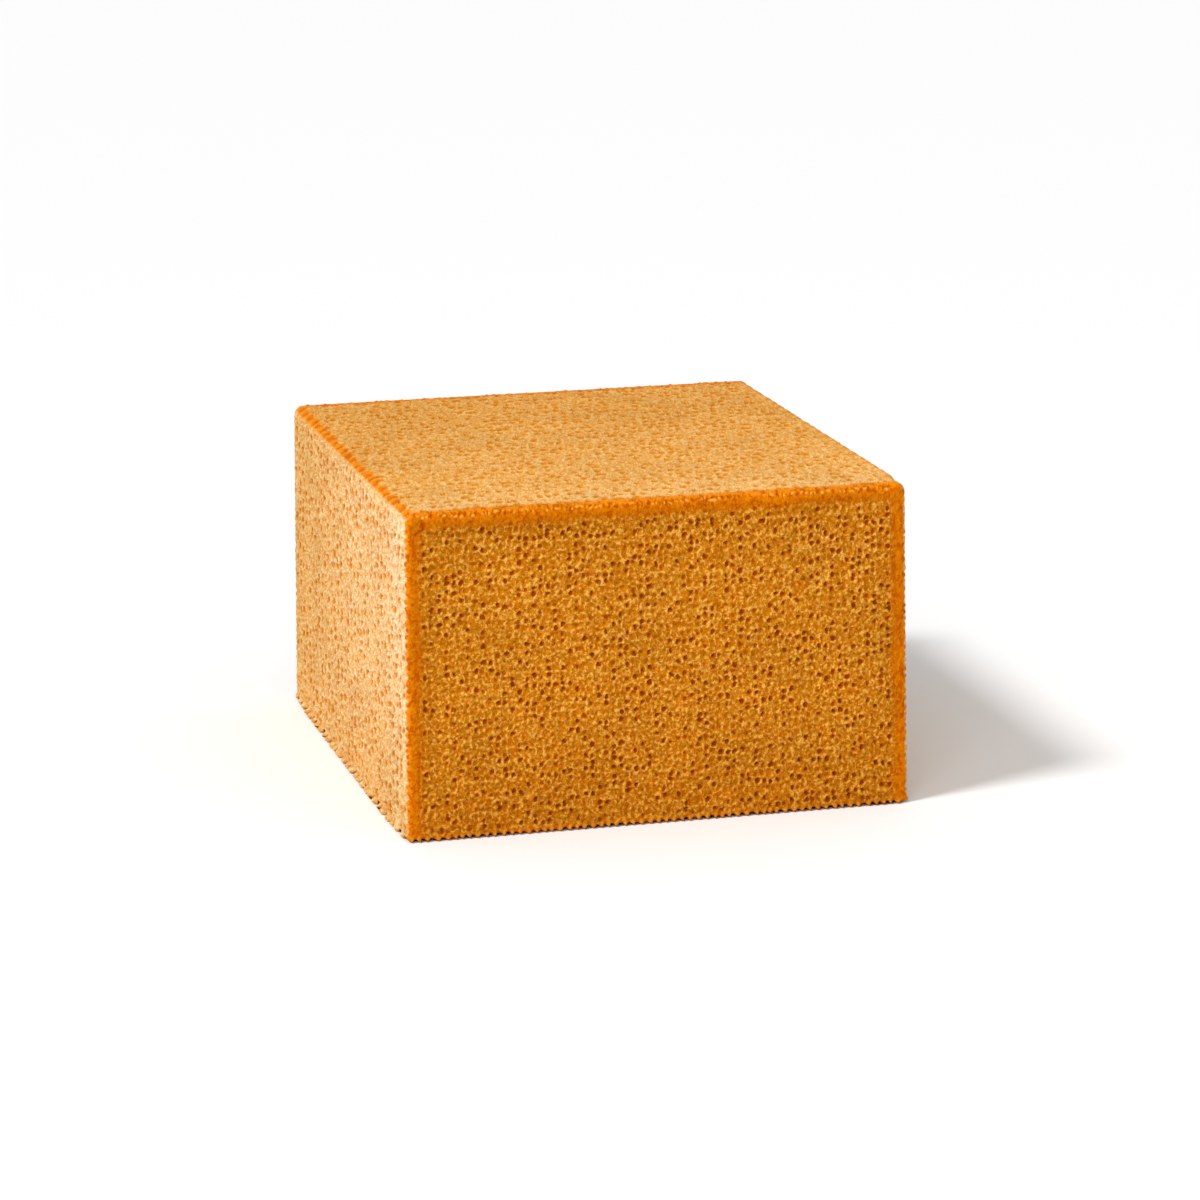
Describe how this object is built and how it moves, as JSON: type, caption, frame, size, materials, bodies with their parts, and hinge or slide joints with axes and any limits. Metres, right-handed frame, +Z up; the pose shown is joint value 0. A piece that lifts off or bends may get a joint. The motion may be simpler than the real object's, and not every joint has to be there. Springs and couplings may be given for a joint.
{
  "type": "mud cake",
  "caption": "Tall, straight-sided whole cake of dense porous crumb, with a browned and beaded rounded rim along every edge.",
  "frame": {"origin": "middle of the flat base, at the level the cake stands on", "axes": "+Z up, -Y towards the open-pored front face, +X to the right when facing the front"},
  "size_m": [0.2012, 0.2272, 0.128],
  "materials": {
    "crumb": "open-pored caramel crumb with an orange-brown rim, softly moist, not glossy"
  },
  "bodies": {
    "root": {"cake": "crumb"}
  },
  "joints": []
}
